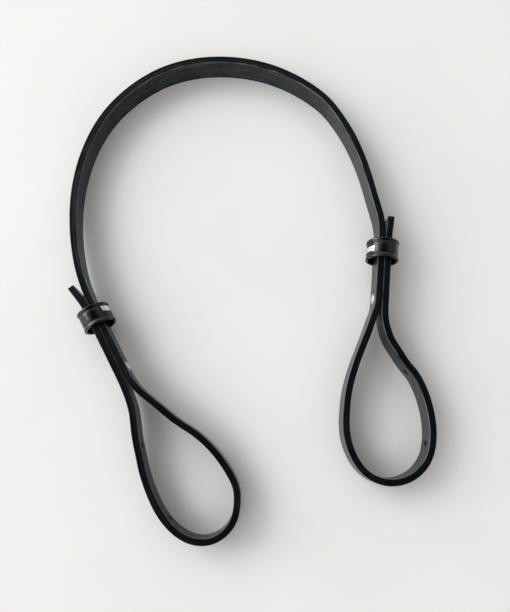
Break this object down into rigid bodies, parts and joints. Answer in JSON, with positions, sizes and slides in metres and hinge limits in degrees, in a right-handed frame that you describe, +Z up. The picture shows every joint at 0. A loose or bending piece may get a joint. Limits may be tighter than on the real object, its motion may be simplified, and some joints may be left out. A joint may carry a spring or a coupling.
{
  "type": "looped leather strap",
  "caption": "Narrow two-ply black leather strap, each end folded back into a teardrop loop held by a sliding round keeper and a screw stud.",
  "frame": {"origin": "middle of the footprint, on the surface the strap stands on", "axes": "+Z up across the strap's width, +Y towards the crown of the arch, +X to the side of the shorter loop"},
  "size_m": [0.1666, 0.2306, 0.0152],
  "materials": {
    "strap_face_leather": "smooth semi-gloss, fine grain",
    "strap_backing_leather": "smooth semi-gloss, fine grain",
    "keeper_leather": "polished, creased near each rim",
    "bright_nickel": "bright nickel plate"
  },
  "bodies": {
    "strap": {"face_leather": "strap_face_leather", "backing_leather": "strap_backing_leather", "stud_left_post": "bright_nickel", "stud_right_post": "bright_nickel", "tail_rivet_post": "bright_nickel", "tail_rivet_cap": "bright_nickel"},
    "keeper_left": {"keeper_left_band": "keeper_leather", "keeper_left_staple": "bright_nickel"},
    "keeper_right": {"keeper_right_band": "keeper_leather", "keeper_right_staple": "bright_nickel"},
    "screw_left": {"stud_left_screw": "bright_nickel"},
    "screw_right": {"stud_right_screw": "bright_nickel"}
  },
  "joints": [
    {"name": "keeper_left_slide", "type": "slide", "parent": "strap", "child": "keeper_left", "axis": [0.4618, -0.887, 0], "range_m": [0, 0.019]},
    {"name": "keeper_right_slide", "type": "slide", "parent": "strap", "child": "keeper_right", "axis": [-0.0872, -0.9962, 0], "range_m": [0, 0.0155]},
    {"name": "stud_left_turn", "type": "hinge", "parent": "strap", "child": "screw_left", "pos_m": [-0.05748, -0.03831, 0.00755], "axis": [0.887, 0.4618, 0], "continuous": true},
    {"name": "stud_right_turn", "type": "hinge", "parent": "strap", "child": "screw_right", "pos_m": [0.06078, -0.00571, 0.00755], "axis": [0.9962, -0.0872, 0], "continuous": true}
  ]
}
